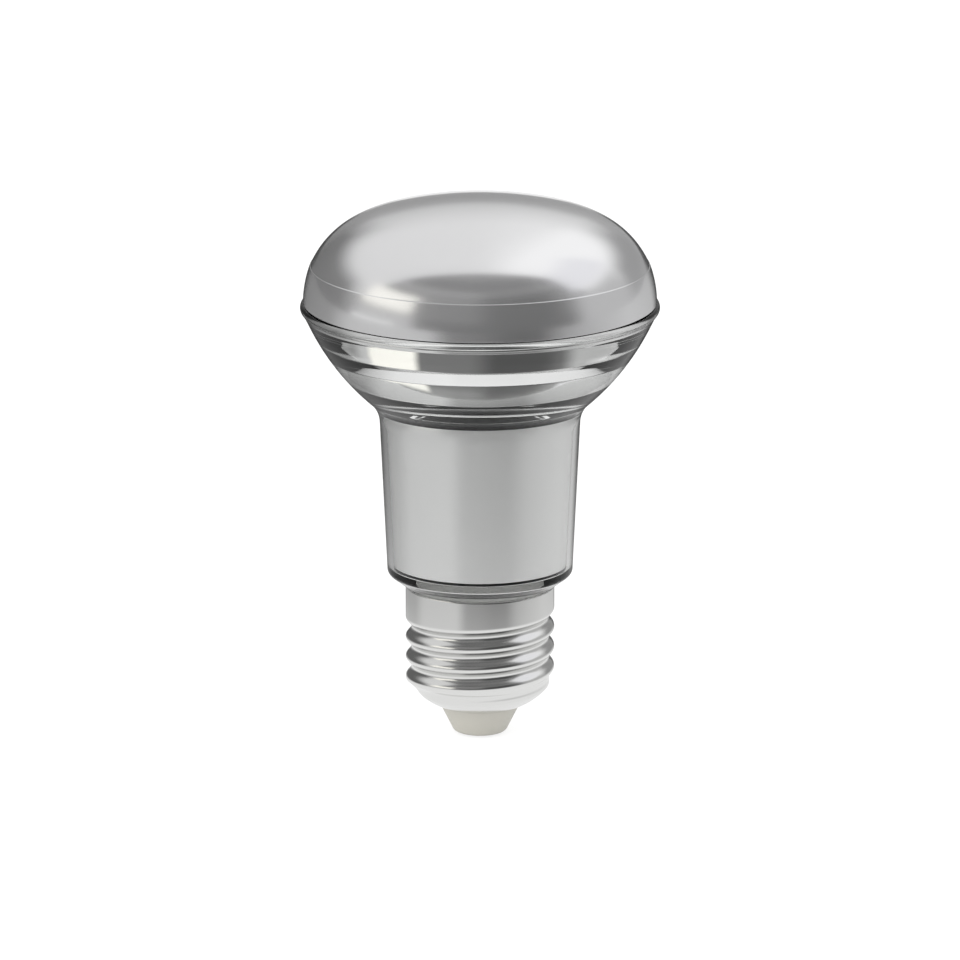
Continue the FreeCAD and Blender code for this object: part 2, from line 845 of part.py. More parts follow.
def make_parts():
    return {
        "front_cover": make_front_cover(),
        "cover_seal": make_cover_seal(),
        "glass_body": make_glass_body(),
        "reflector": make_reflector(),
        "neck_seal": make_neck_seal(),
        "heat_sink": make_heat_sink(),
        "foot_seal": make_foot_seal(),
        "screw_shell": make_screw_shell(),
        "base_insulator": make_base_insulator(),
        "centre_contact": make_centre_contact(),
        "cap_cement": make_cap_cement(),
        "led_board": make_led_board(),
        "led_packages": make_led_packages(),
        "board_screws": make_board_screws(),
        "driver_housing": make_driver_housing(),
        "driver_board": make_driver_board(),
        "bulk_capacitor": make_bulk_capacitor(),
        "output_capacitor": make_output_capacitor(),
        "transformer_core": make_transformer_core(),
        "transformer_winding": make_transformer_winding(),
        "film_capacitor": make_film_capacitor(),
        "bridge_rectifier": make_bridge_rectifier(),
        "controller_chip": make_controller_chip(),
        "output_diode": make_output_diode(),
        "fuse_resistor": make_fuse_resistor(),
        "led_wire_positive": make_led_wire(1),
        "led_wire_negative": make_led_wire(-1),
        "live_wire": make_live_wire(),
        "neutral_wire": make_neutral_wire(),
    }


os.makedirs("parts", exist_ok=True)
for name, shape in make_parts().items():
    shape.exportStep(f"parts/{name}.step")
    print(name, len(shape.Solids), shape.isValid(), round(shape.Volume, 2))
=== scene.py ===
"""Dresses the reflector bulb with fine surfaces and finishes, and sets it in a small studio."""
import math

import bpy
from bpy.props import FloatProperty, FloatVectorProperty, IntProperty, PointerProperty
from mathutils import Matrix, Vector


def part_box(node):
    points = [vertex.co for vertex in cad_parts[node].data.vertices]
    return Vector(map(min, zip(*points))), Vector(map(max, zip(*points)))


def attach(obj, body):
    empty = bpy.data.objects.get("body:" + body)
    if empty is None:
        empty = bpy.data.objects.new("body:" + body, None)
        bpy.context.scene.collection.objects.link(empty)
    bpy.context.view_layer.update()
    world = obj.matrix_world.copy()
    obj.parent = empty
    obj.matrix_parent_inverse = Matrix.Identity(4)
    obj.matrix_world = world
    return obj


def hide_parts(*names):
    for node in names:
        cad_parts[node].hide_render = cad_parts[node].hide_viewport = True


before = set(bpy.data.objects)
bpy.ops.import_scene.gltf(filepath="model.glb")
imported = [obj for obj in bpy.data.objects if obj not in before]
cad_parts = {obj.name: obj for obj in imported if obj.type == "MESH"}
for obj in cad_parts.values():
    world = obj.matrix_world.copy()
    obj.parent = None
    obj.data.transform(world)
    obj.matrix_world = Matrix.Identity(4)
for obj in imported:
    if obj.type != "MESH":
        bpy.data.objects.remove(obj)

bl_info = {
    "name": "Reflector Bulb",
    "version": (1, 0, 0),
    "blender": (4, 5, 0),
    "location": "3D View > Sidebar > Reflector Bulb",
    "description": "Builds the visible surfaces of a glass reflector bulb and its studio",
    "category": "Object",
}

MM = 0.001
TINY = 1e-8  # metres under which two places are one
LONGEST_RUN = 2 * MM  # of a straight part of an outline


def low(node):
    """The lowest height of a CAD piece, in metres."""
    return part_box(node)[0].z


def high(node):
    """The greatest height of a CAD piece, in metres."""
    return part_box(node)[1].z


def reach(node):
    """The greatest radius of a CAD piece, in metres."""
    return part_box(node)[1].x


# Properties

def size(name, description, millimetres):
    return FloatProperty(
        name=name, description=description, default=millimetres * MM, unit="LENGTH", precision=5)


def colour(name, description, red, green, blue):
    return FloatVectorProperty(
        name=name, description=description, default=(red, green, blue, 1), size=4, subtype="COLOR",
        min=0, max=1)


class BulbSizes(bpy.types.PropertyGroup):
    """Sizes that the surfaces share."""

    turn_segments: IntProperty(
        name="Turn segments", description="Faces round a turned surface", default=256, min=32)
    edge_round: size("Edge round", "Small round on the glass and metal edges", 0.12)
    seat_gap: size("Seat gap", "Gap between seated pieces", 0.05)
    slide_gap: size("Slide gap", "Gap between pieces that slide together", 0.1)
    glass_wall: size("Glass wall", "Wall of the clear neck", 1.1)
    glass_floor: size("Glass floor", "Floor of the clear body", 2.0)
    glass_tube_radius: size("Glass tube radius", "Short tube that stands in the cap", 12.2)
    shoulder_step: size("Shoulder step", "Glass foot beyond the cap", 0.4)
    shoulder_run: size("Shoulder run", "Width of the chamfer under the neck", 2.8)
    shoulder_height: size("Shoulder height", "Height of the chamfer under the neck", 2.65)
    shoulder_round: size("Shoulder round", "Round at both ends of the chamfer", 0.4)
    neck_length: size("Neck length", "Length of the tapered neck", 27.0)
    neck_taper: size("Neck taper", "How far the neck widens upwards", 1.28)
    flare_run: size("Flare run", "How far the flare widens to the bowl", 1.82)
    flare_height: size("Flare height", "Height of the flare under the bowl", 3.95)
    bowl_height: size("Bowl height", "Height of the bowl", 14.25)
    bowl_bulge: size("Bowl bulge", "How far the bowl stands off its chord", 0.93)
    lip_run: size("Lip run", "Rim beyond the top of the bowl", 1.3)
    lip_shoulder_run: size("Lip shoulder run", "Rim beyond the shoulder of the lip", 0.65)
    lip_shoulder_drop: size("Lip shoulder drop", "Shoulder of the lip below the rim", 1.9)
    lip_bead: size("Lip bead", "Round of the lip", 0.75)
    rim_land: size("Rim land", "Width of the flat rim", 2.0)
    rim_recess: size("Rim recess", "Depth of the recess in the rim", 1.2)
    recess_slope: size("Recess slope", "Fall of the recess to the first step", 0.4)
    upper_step: size("Upper step", "Height of the upper reflector step", 4.1)
    upper_glass: size("Upper glass", "Glass outside the upper step", 1.2)
    ledge_drop: size("Ledge drop", "Fall of the ledge between the steps", 2.4)
    lower_step: size("Lower step", "Height of the lower reflector step", 4.6)
    lower_glass: size("Lower glass", "Glass outside the lower step", 0.8)
    foot_step: size("Foot step", "Reflector foot beyond the bore of the neck", 0.97)
    reflector_flange: size("Reflector flange", "Width of the reflector's flat foot", 3.2)
    reflector_wall: size("Reflector wall", "Wall of the bright liner", 0.4)
    crease_height: size("Crease height", "Crease of the cover above the rim", 6.7)
    crease_inset: size("Crease inset", "Crease of the cover inside the rim", 1.85)
    crease_ledge: size("Crease ledge", "Ledge at the crease", 0.1)
    crown_radius: size("Crown radius", "Radius of the cover's flat top", 70.5)
    cover_shoulder: size("Cover shoulder", "Radius of the cover between top and edge", 23.6)
    knuckle_radius: size("Knuckle radius", "Radius of the cover at its edge", 15.7)
    cover_wall: size("Cover wall", "Wall of the cover", 1.5)
    band_inset: size("Band inset", "Foot of the band inside the rim", 0.5)
    band_bulge: size("Band bulge", "How far the band stands off its chord", 0.28)
    spigot_wall: size("Spigot wall", "Wall of the cover's spigot", 1.3)
    sink_gap: size("Sleeve gap", "Gap between sleeve and glass", 0.2)
    sink_wall: size("Sleeve wall", "Wall of the sleeve", 0.8)
    sink_plate: size("Sleeve plate", "Thickness of the sleeve's top plate", 1.6)
    seal_overhang: size("Seal overhang", "Neck seal inside the reflector's opening", 0.4)
    thread_pitch: size("Thread pitch", "Rise of the rolled thread in a turn", 3.629)
    thread_depth: size("Thread depth", "Depth of the rolled thread", 1.05)
    thread_run_on: size("Thread run-on", "Thread below the top of the cone", 1.83)
    skirt_height: size("Skirt height", "Plain skirt above the thread", 2.69)
    shell_wall: size("Shell wall", "Sheet of the screw shell", 0.3)
    cone_height: size("Cone height", "Rounded lower end of the shell", 4.8)
    cone_bulge: size("Cone bulge", "How far that end stands off its chord", 0.6)
    shell_mouth: size("Shell mouth", "Radius of the shell's lower opening", 7.2)
    crease_angle: FloatProperty(
        name="Crease angle", description="Angle of the cover's edge from the axis",
        default=math.radians(65.7), unit="ROTATION")
    shoulder_angle: FloatProperty(
        name="Shoulder angle", description="Where the cover's shoulder turns into its edge",
        default=math.radians(28.4), unit="ROTATION")


class BulbColours(bpy.types.PropertyGroup):
    """Colours of the finishes."""

    cover: colour("Cover", "Satin silvered cover", 0.82, 0.82, 0.83)
    glass: colour("Glass", "Clear body", 0.985, 0.99, 0.985)
    liner: colour("Liner", "Bright reflector liner", 0.93, 0.93, 0.93)
    sleeve: colour("Sleeve", "Satin aluminium sleeve", 0.95, 0.95, 0.95)
    nickel: colour("Nickel", "Screw shell", 0.82, 0.82, 0.81)
    insulator: colour("Insulator", "Base insulator", 0.50, 0.487, 0.44)
    # Near black partly as painted shade: the neck and foot seals carry the dark refracted rings seen in the
    # glass neck and shoulder.
    seal: colour("Seal", "Dark bonded seals", 0.004, 0.004, 0.0045)
    contact: colour("Contact", "Centre contact", 0.74, 0.68, 0.55)


class StudioSettings(bpy.types.PropertyGroup):
    """Camera and lights of the studio."""

    camera_place: FloatVectorProperty(
        name="Camera place", description="Where the camera stands", default=(0, -1.45794, 0.43091),
        subtype="TRANSLATION")
    camera_aim: FloatVectorProperty(
        name="Camera aim", description="Point that the camera looks at", default=(0, 0, 0.046044),
        subtype="TRANSLATION")
    lens: FloatProperty(name="Lens", description="Focal length in millimetres", default=321.43)
    lamp_level: FloatProperty(name="Lamp level", description="Brightness of the soft lamps", default=3.2)


# Outlines

class Outline:
    """A closed line of (radius, height) points beside the axis, which remembers its corners."""

    LARGEST_STEP = math.radians(7.5)
    ARC_SAG = 0.002 * MM
    FEWEST_ARC_STEPS = 4
    SMALLEST_CORNER = math.radians(1)
    CORNER_STEPS = 6
    CORNER_SHARE = 0.4  # of a run that a rounded corner may take

    def __init__(self, radius, height):
        self.points = [Vector((radius, height))]
        self.corners = {0}
        self.straight_ends = set()
        self.heading = None

    def line(self, radius, height):
        end = Vector((radius, height))
        self.straight_ends.add(len(self.points))
        self.turn_to(end - self.points[-1])
        self.heading = (end - self.points[-1]).normalized()
        self.points.append(end)

    def turn_to(self, leaving):
        if self.heading is not None and self.heading.angle(leaving) > self.SMALLEST_CORNER:
            self.corners.add(len(self.points) - 1)

    def bulge(self, radius, height, rise):
        """An arc whose middle stands off the chord, to the right of its travel if positive."""
        start, end = self.points[-1], Vector((radius, height))
        centre, arc_radius = bulged_arc(start, end, abs(rise), math.copysign(1, rise))
        half = math.asin(min(1, (end - start).length / 2 / arc_radius))
        self.sweep(centre, 2 * math.copysign(half, rise))

    def bend(self, radius, height):
        """An arc that leaves along the last heading and ends at the point."""
        chord = Vector((radius, height)) - self.points[-1]
        left = self.heading.x * chord.y - self.heading.y * chord.x
        turn = math.atan2(left, self.heading.dot(chord))
        self.bulge(radius, height, chord.length / 2 * math.tan(turn / 2))

    def about(self, centre, radius, first, last):
        """An arc about a centre, between two angles from the upward direction."""
        start = around(centre, radius, first)
        if (start - self.points[-1]).length > TINY:
            self.line(*start)
        self.sweep(centre, first - last)

    def sweep(self, centre, angle):
        """Carries the line round a centre; a positive angle turns to the left."""
        spoke = self.points[-1] - centre
        side = Vector((-spoke.y, spoke.x))
        self.turn_to(side * math.copysign(1, angle))
        step = min(self.LARGEST_STEP, math.sqrt(8 * self.ARC_SAG / spoke.length))
        count = max(self.FEWEST_ARC_STEPS, math.ceil(abs(angle) / step))
        for number in range(1, count + 1):
            part = angle * number / count
            self.points.append(centre + spoke * math.cos(part) + side * math.sin(part))
        spoke = self.points[-1] - centre
        self.heading = (Vector((-spoke.y, spoke.x)) * math.copysign(1, angle)).normalized()

    def softened(self, radius, longest):
        """The closed line with its corners rounded a little and its straight runs divided."""
        closed = (self.points[-1] - self.points[0]).length < TINY
        points = self.points[:-1] if closed else self.points
        corners = self.corners | {len(self.points) - 1}
        line = []
        for number, point in enumerate(points):
            before, after = points[number - 1], points[(number + 1) % len(points)]
            straight = number + 1 in self.straight_ends
            if number not in corners or point.x < TINY:
                line.append((point, straight))
                continue
            first = self.along(point, before, radius)
            last = self.along(point, after, radius)
            for step in range(self.CORNER_STEPS + 1):
                share = step / self.CORNER_STEPS
                place = first.lerp(point, share).lerp(point.lerp(last, share), share)
                line.append((place, straight and share == 1))
        return divided(line, longest)

    def along(self, point, neighbour, distance):
        run = neighbour - point
        return point + run.normalized() * min(distance, run.length * self.CORNER_SHARE)


def divided(line, longest):
    """Splits straight runs, with a short run next to each end so that shading stays crisp."""
    result = []
    for (start, straight), (end, _) in zip(line, line[1:] + line[:1]):
        result.append(start)
        run = (end - start).length
        if straight and run > longest / 4 and (start.x > TINY or end.x > TINY):
            guard = min(longest / 8, run / 4) / run
            count = max(1, math.ceil(run / longest))
            shares = [guard, 1 - guard]
            shares[1:1] = [guard + (1 - 2 * guard) * number / count for number in range(1, count)]
            result += [start.lerp(end, share) for share in shares]
    return result


def around(centre, radius, angle):
    """The point at an angle from the upward direction, seen from a centre."""
    return Vector((centre[0] + radius * math.sin(angle), centre[1] + radius * math.cos(angle)))


def bulged_arc(start, end, rise, side=1):
    """Centre and radius of the arc that stands off a chord, to its right for side 1."""
    chord = Vector(end) - Vector(start)
    radius = (chord.length ** 2 / 4 + rise * rise) / (2 * rise)
    right = Vector((chord.y, -chord.x)).normalized() * side
    return (Vector(start) + Vector(end)) / 2 - right * (radius - rise), radius


def beside(points, distance):
    """The line that runs a distance to the right of a line of points."""
    sides = []
    for first, last in zip(points, points[1:]):
        run = (last - first).normalized()
        offset = Vector((run.y, -run.x)) * distance
        sides.append((first + offset, last + offset, run))
    moved = [sides[0][0]]
    for (start, _, run), (next_start, _, next_run) in zip(sides, sides[1:]):
        gap = next_start - start
        cross = run.x * next_run.y - run.y * next_run.x
        moved.append(start + run * ((gap.x * next_run.y - gap.y * next_run.x) / cross))
    return moved + [sides[-1][1]]


class BulbShape:
    """Places that several pieces take from the frame and the shared sizes."""

    def __init__(self, sizes):
        self.sizes = sizes
        self.skirt_radius = reach("screw_shell")
        self.cap_height = high("screw_shell")
        self.glass_bottom = self.cap_height + sizes.seat_gap
        self.floor_top = self.glass_bottom + sizes.glass_floor
        self.tube_bore = sizes.glass_tube_radius - sizes.glass_wall
        self.shoulder_radius = self.skirt_radius + sizes.shoulder_step
        self.neck_bottom = Vector((
            self.shoulder_radius + sizes.shoulder_run, self.glass_bottom + sizes.shoulder_height))
        self.neck_top = self.neck_bottom + Vector((sizes.neck_taper, sizes.neck_length))
        self.bowl_foot = self.neck_top + Vector((sizes.flare_run, sizes.flare_height))
        self.rim_radius = reach("glass_body")
        self.rim_height = high("glass_body")
        self.bowl_top = Vector((self.rim_radius - sizes.lip_run, self.bowl_foot.y + sizes.bowl_height))
        self.recess_radius = self.rim_radius - sizes.rim_land
        self.recess_floor = self.rim_height - sizes.rim_recess
        self.sink_top = high("heat_sink")
        self.sink_bottom = low("heat_sink")
        self.foot_height = high("neck_seal")
        self.foot_radius = self.neck_bore(self.sink_top) + sizes.foot_step
        self.opening = self.foot_radius - sizes.reflector_flange
        self.seal_top = high("cover_seal")

    def neck_radius(self, height):
        slope = self.sizes.neck_taper / self.sizes.neck_length
        return self.neck_bottom.x + slope * (height - self.neck_bottom.y)

    def neck_bore(self, height):
        return self.neck_radius(height) - self.sizes.glass_wall

    def sleeve_radius(self, height):
        return self.neck_bore(height) - self.sizes.sink_gap

    def bowl_radius(self, height):
        centre, radius = bulged_arc(self.bowl_foot, self.bowl_top, self.sizes.bowl_bulge)
        return centre.x + math.sqrt(radius ** 2 - (height - centre.y) ** 2)

    def step_line(self):
        """The stepped inside of the bowl, from the recess down to the reflector's foot."""
        sizes = self.sizes
        upper_top = self.recess_floor - sizes.recess_slope
        upper_bottom = upper_top - sizes.upper_step
        upper_radius = self.bowl_radius(upper_bottom) - sizes.upper_glass
        lower_top = upper_bottom - sizes.ledge_drop
        lower_bottom = lower_top - sizes.lower_step
        lower_radius = self.bowl_radius(lower_bottom) - sizes.lower_glass
        return [
            Vector((self.recess_radius, self.recess_floor)),
            Vector((upper_radius, upper_top)),
            Vector((upper_radius, upper_bottom)),
            Vector((lower_radius, lower_top)),
            Vector((lower_radius, lower_bottom)),
            Vector((self.foot_radius, self.foot_height)),
        ]

    def inner_shoulder(self):
        """Both ends of the chamfer inside the glass, from the neck to the floor."""
        sizes = self.sizes
        rise = self.neck_bottom.y - self.glass_bottom
        slope = (self.neck_bottom.x - self.shoulder_radius) / rise
        corner_height = self.neck_bottom.y + sizes.glass_wall
        corner = Vector((self.neck_bore(corner_height), corner_height))
        return corner, Vector((corner.x - slope * (corner.y - self.floor_top), self.floor_top))


# Meshes

def turned_mesh(name, line, segments):
    """Turns a closed line of (radius, height) points about the axis, with its faces outwards."""
    turns = sum(first.x * last.y - last.x * first.y for first, last in zip(line, line[1:] + line[:1]))
    if turns < 0:
        line = line[::-1]
    vertices, rows = [], []
    for radius, height in line:
        if radius < TINY:
            rows.append([len(vertices)] * segments)
            vertices.append((0, 0, height))
            continue
        rows.append(range(len(vertices), len(vertices) + segments))
        for number in range(segments):
            angle = 2 * math.pi * number / segments
            vertices.append((radius * math.cos(angle), radius * math.sin(angle), height))
    faces = []
    for lower, upper in zip(rows, rows[1:] + rows[:1]):
        if lower[0] == lower[1] and upper[0] == upper[1]:
            continue
        for number in range(segments):
            after = (number + 1) % segments
            corners = (lower[number], lower[after], upper[after], upper[number])
            faces.append(tuple(dict.fromkeys(corners)))
    mesh = bpy.data.meshes.new(name)
    mesh.from_pydata(vertices, [], faces)
    return mesh


def add_piece(name, mesh, material, node):
    """Puts a smooth piece in the scene, in place of a CAD node."""
    mesh.shade_smooth()
    mesh.materials.append(material)
    piece = bpy.data.objects.new(name, mesh)
    bpy.context.scene.collection.objects.link(piece)
    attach(piece, "root")
    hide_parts(node)
    return piece


def turned_piece(name, outline, material, node):
    sizes = bpy.context.scene.bulb_sizes
    line = outline.softened(sizes.edge_round, LONGEST_RUN)
    return add_piece(name, turned_mesh(name, line, sizes.turn_segments), material, node)


def ring_outline(inner, outer, bottom, top):
    outline = Outline(inner, bottom)
    outline.line(outer, bottom)
    outline.line(outer, top)
    outline.line(inner, top)
    outline.line(inner, bottom)
    return outline


# Finishes

def new_group(name, inputs, outputs):
    """A shader node group with named sockets, and its input and output nodes."""
    group = bpy.data.node_groups.new(name, "ShaderNodeTree")
    for socket, kind, value in inputs:
        made = group.interface.new_socket(socket, in_out="INPUT", socket_type=kind)
        made.default_value = value
    for socket, kind in outputs:
        group.interface.new_socket(socket, in_out="OUTPUT", socket_type=kind)
    return group, group.nodes.new("NodeGroupInput"), group.nodes.new("NodeGroupOutput")


def node(tree, kind, links=(), **values):
    """A node with its properties or input values set and its inputs linked."""
    made = tree.nodes.new(kind)
    for key, value in values.items():
        if hasattr(made, key):
            setattr(made, key, value)
        else:
            made.inputs[key.replace("_", " ")].default_value = value
    for socket, source in links:
        tree.links.new(source, made.inputs[socket])
    return made


def calculated(tree, operation, *operands):
    """The output of a Math node; each operand is a socket or a number."""
    made = node(tree, "ShaderNodeMath", operation=operation)
    for socket, operand in zip(made.inputs, operands):
        if isinstance(operand, (int, float)):
            socket.default_value = operand
        else:
            tree.links.new(operand, socket)
    return made.outputs[0]


FLOAT, COLOUR = "NodeSocketFloat", "NodeSocketColor"


def surface_grain():
    """Small uneven tone, gloss and height, as moulded, drawn and plated surfaces have."""
    if "Surface grain" in bpy.data.node_groups:
        return bpy.data.node_groups["Surface grain"]
    group, given, result = new_group(
        "Surface grain",
        [("Colour", COLOUR, (0.8, 0.8, 0.8, 1)), ("Tone spread", FLOAT, 0.03), ("Scale", FLOAT, 400.0),
         ("Roughness", FLOAT, 0.3), ("Roughness spread", FLOAT, 0.05)],
        [("Colour", COLOUR), ("Roughness", FLOAT), ("Height", FLOAT)])
    place = node(group, "ShaderNodeTexCoord")
    noise = node(group, "ShaderNodeTexNoise",
                 [("Vector", place.outputs["Object"]), ("Scale", given.outputs["Scale"])], Detail=3.0)
    centred = calculated(group, "SUBTRACT", noise.outputs["Fac"], 0.5)
    tone = calculated(group, "MULTIPLY_ADD", centred, given.outputs["Tone spread"], 1.0)
    tinted = node(group, "ShaderNodeVectorMath",
                  [(0, given.outputs["Colour"]), ("Scale", tone)], operation="SCALE")
    gloss = calculated(group, "MULTIPLY_ADD", centred, given.outputs["Roughness spread"],
                       given.outputs["Roughness"])
    results = {"Colour": tinted.outputs[0], "Roughness": gloss, "Height": noise.outputs["Fac"]}
    for socket, source in results.items():
        group.links.new(source, result.inputs[socket])
    return group


def drawn_lines():
    """Fine rings round the axis, as a drawn or turned sheet has."""
    if "Drawn lines" in bpy.data.node_groups:
        return bpy.data.node_groups["Drawn lines"]
    group, given, result = new_group(
        "Drawn lines", [("Scale", FLOAT, 4000.0), ("Stretch", FLOAT, 0.02)], [("Height", FLOAT)])
    place = node(group, "ShaderNodeTexCoord")
    squash = node(group, "ShaderNodeCombineXYZ",
                  [("X", given.outputs["Stretch"]), ("Y", given.outputs["Stretch"])], Z=1.0)
    along = node(group, "ShaderNodeVectorMath",
                 [(0, place.outputs["Object"]), (1, squash.outputs[0])], operation="MULTIPLY")
    noise = node(group, "ShaderNodeTexNoise",
                 [("Vector", along.outputs[0]), ("Scale", given.outputs["Scale"])], Detail=2.0)
    group.links.new(noise.outputs[0], result.inputs["Height"])
    return group


GLOSS_SPREAD = 0.2  # unevenness of the roughness, as a share of it
RELIEF_HEIGHT = 0.02 * MM


def finish(name, tone, roughness, spread=0.03, scale=400.0, bump=0.0, lines=0.0, **shader_values):
    """A material from the shared grain, with plain values set on its own shader."""
    material = bpy.data.materials.new(name)
    material.use_nodes = True
    tree = material.node_tree
    shader = tree.nodes["Principled BSDF"]
    for key, value in shader_values.items():
        shader.inputs[key.replace("_", " ")].default_value = value
    grain = node(tree, "ShaderNodeGroup", node_tree=surface_grain())
    grain.inputs["Colour"].default_value = tone
    grain.inputs["Tone spread"].default_value = spread
    grain.inputs["Scale"].default_value = scale
    grain.inputs["Roughness"].default_value = roughness
    grain.inputs["Roughness spread"].default_value = roughness * GLOSS_SPREAD
    tree.links.new(grain.outputs["Colour"], shader.inputs["Base Color"])
    tree.links.new(grain.outputs["Roughness"], shader.inputs["Roughness"])
    normal = None
    for strength, group in ((bump, surface_grain), (lines, drawn_lines)):
        if not strength:
            continue
        source = grain if group is surface_grain else node(tree, "ShaderNodeGroup", node_tree=group())
        relief = node(tree, "ShaderNodeBump", [("Height", source.outputs["Height"])], Strength=strength)
        relief.inputs["Distance"].default_value = RELIEF_HEIGHT
        if normal is not None:
            tree.links.new(normal, relief.inputs["Normal"])
        normal = relief.outputs["Normal"]
    if normal is not None:
        tree.links.new(normal, shader.inputs["Normal"])
    return material


# Pieces

class BulbOperator:
    """What the bulb's operators share."""

    bl_options = {"REGISTER", "UNDO"}

    def execute(self, context):
        sizes = context.scene.bulb_sizes
        self.build(BulbShape(sizes), sizes, context.scene.bulb_colours)
        return {"FINISHED"}


class BULB_OT_glass_body(BulbOperator, bpy.types.Operator):
    """Clear blown body with bowl, tapered neck, chamfered shoulder and short tube"""

    bl_idname = "bulb.glass_body"
    bl_label = "Glass Body"

    def build(self, shape, sizes, colours):
        corner, floor_edge = shape.inner_shoulder()
        outline = Outline(shape.tube_bore, low("glass_body"))
        outline.line(sizes.glass_tube_radius, low("glass_body"))
        outline.line(sizes.glass_tube_radius, shape.glass_bottom)
        outline.line(shape.shoulder_radius - sizes.shoulder_round, shape.glass_bottom)
        outline.bend(shape.shoulder_radius, shape.glass_bottom + sizes.shoulder_round)
        outline.line(shape.neck_bottom.x - sizes.shoulder_round, shape.neck_bottom.y - sizes.shoulder_round)
        outline.bend(shape.neck_bottom.x, shape.neck_bottom.y + sizes.shoulder_round)
        outline.line(*shape.neck_top)
        outline.bend(*shape.bowl_foot)
        outline.bulge(*shape.bowl_top, sizes.bowl_bulge)
        outline.line(shape.rim_radius - sizes.lip_shoulder_run, shape.rim_height - sizes.lip_shoulder_drop)
        bead = Vector((shape.rim_radius - sizes.lip_bead, shape.rim_height - sizes.lip_bead))
        outline.about(bead, sizes.lip_bead, math.radians(135), 0)
        outline.line(shape.recess_radius, shape.rim_height)
        for point in shape.step_line():
            outline.line(*point)
        outline.bend(shape.neck_bore(shape.sink_top), shape.sink_top)
        outline.line(*corner)
        outline.line(*floor_edge)
        outline.line(shape.tube_bore, shape.floor_top)
        outline.line(shape.tube_bore, low("glass_body"))
        glass = finish("Clear glass", colours.glass, 0.01, spread=0.01, scale=60.0,
                       Transmission_Weight=1.0, IOR=1.47, Specular_Tint=(0.4, 0.4, 0.4, 1))
        turned_piece("Glass_body", outline, glass, "glass_body")


class BULB_OT_reflector(BulbOperator, bpy.types.Operator):
    """Bright stepped liner that lies against the bowl"""

    bl_idname = "bulb.reflector"
    bl_label = "Reflector"

    def build(self, shape, sizes, colours):
        line = shape.step_line() + [Vector((shape.opening, shape.foot_height))]
        line[0] = Vector((shape.recess_radius - sizes.slide_gap, shape.recess_floor))
        outside = beside(line, sizes.seat_gap)
        inside = beside(line, sizes.seat_gap + sizes.reflector_wall)
        outline = Outline(*outside[0])
        for point in outside[1:] + inside[::-1] + outside[:1]:
            outline.line(*point)
        mirror = finish("Bright liner", colours.liner, 0.03, spread=0.01, scale=900.0, Metallic=1.0)
        turned_piece("Reflector", outline, mirror, "reflector")


class BULB_OT_front_cover(BulbOperator, bpy.types.Operator):
    """Satin domed cover with a crease and a steep band"""

    bl_idname = "bulb.front_cover"
    bl_label = "Front Cover"

    def build(self, shape, sizes, colours):
        edge, shoulder = sizes.crease_angle, sizes.shoulder_angle
        crease = Vector((shape.rim_radius - sizes.crease_inset, shape.rim_height + sizes.crease_height))
        knuckle_centre = around(crease, -sizes.knuckle_radius, edge)
        shoulder_centre = around(knuckle_centre, sizes.knuckle_radius - sizes.cover_shoulder, shoulder)
        crown = math.asin(shoulder_centre.x / (sizes.crown_radius - sizes.cover_shoulder))
        crown_centre = around(shoulder_centre, sizes.cover_shoulder - sizes.crown_radius, crown)
        crown_centre.x = 0
        outline = Outline(0, crown_centre.y + sizes.crown_radius)
        outline.about(crown_centre, sizes.crown_radius, 0, crown)
        outline.about(shoulder_centre, sizes.cover_shoulder, crown, shoulder)
        outline.about(knuckle_centre, sizes.knuckle_radius, shoulder, edge)
        outline.line(crease.x + sizes.crease_ledge, crease.y)
        outline.bulge(shape.rim_radius - sizes.band_inset, shape.seal_top, -sizes.band_bulge)
        spigot = shape.recess_radius - 2 * sizes.slide_gap
        spigot_bottom = low("front_cover")
        outline.line(spigot, shape.seal_top)
        outline.line(spigot, spigot_bottom)
        outline.line(spigot - sizes.spigot_wall, spigot_bottom)
        outline.line(spigot - sizes.spigot_wall, shape.seal_top)
        outline.about(knuckle_centre, sizes.knuckle_radius - sizes.cover_wall, edge, shoulder)
        outline.about(shoulder_centre, sizes.cover_shoulder - sizes.cover_wall, shoulder, crown)
        outline.about(crown_centre, sizes.crown_radius - sizes.cover_wall, crown, 0)
        outline.line(0, crown_centre.y + sizes.crown_radius)
        satin = finish("Satin cover", colours.cover, 0.20, spread=0.02, scale=250.0, Metallic=0.9,
                       Coat_Weight=1.0, Coat_Roughness=0.03, Coat_IOR=1.5)
        turned_piece("Front_cover", outline, satin, "front_cover")


class BULB_OT_seals(BulbOperator, bpy.types.Operator):
    """Dark bonded seam and the two seals inside the neck, whose near-black finish is partly painted shade for
    the dark rings in the glass
    """

    bl_idname = "bulb.seals"
    bl_label = "Seals"

    def build(self, shape, sizes, colours):
        # One near-black, low-shine finish for all three pieces: a real dark seal, and painted shade where the
        # neck and foot seals stand in for the dark refracted rings in the glass.
        seal_and_painted_shade = finish("Dark seal and painted shade", colours.seal, 0.5, spread=0.3, scale=600.0, bump=0.3,
                        Specular_IOR_Level=0.1)
        seam = ring_outline(shape.recess_radius, reach("cover_seal"), low("cover_seal"), shape.seal_top)
        turned_piece("Cover_seal", seam, seal_and_painted_shade, "cover_seal")
        neck = ring_outline(shape.opening - sizes.seal_overhang, shape.sleeve_radius(shape.sink_top),
                            shape.sink_top, shape.foot_height)
        turned_piece("Neck_seal", neck, seal_and_painted_shade, "neck_seal")
        corner, floor_edge = shape.inner_shoulder()
        gap = sizes.slide_gap
        foot = Outline(shape.tube_bore, shape.floor_top)
        foot.line(floor_edge.x - gap, floor_edge.y)
        foot.line(corner.x - gap, corner.y)
        foot.line(corner.x - gap, shape.sink_bottom)
        foot.line(shape.tube_bore, shape.sink_bottom)
        foot.line(shape.tube_bore, shape.floor_top)
        turned_piece("Foot_seal", foot, seal_and_painted_shade, "foot_seal")


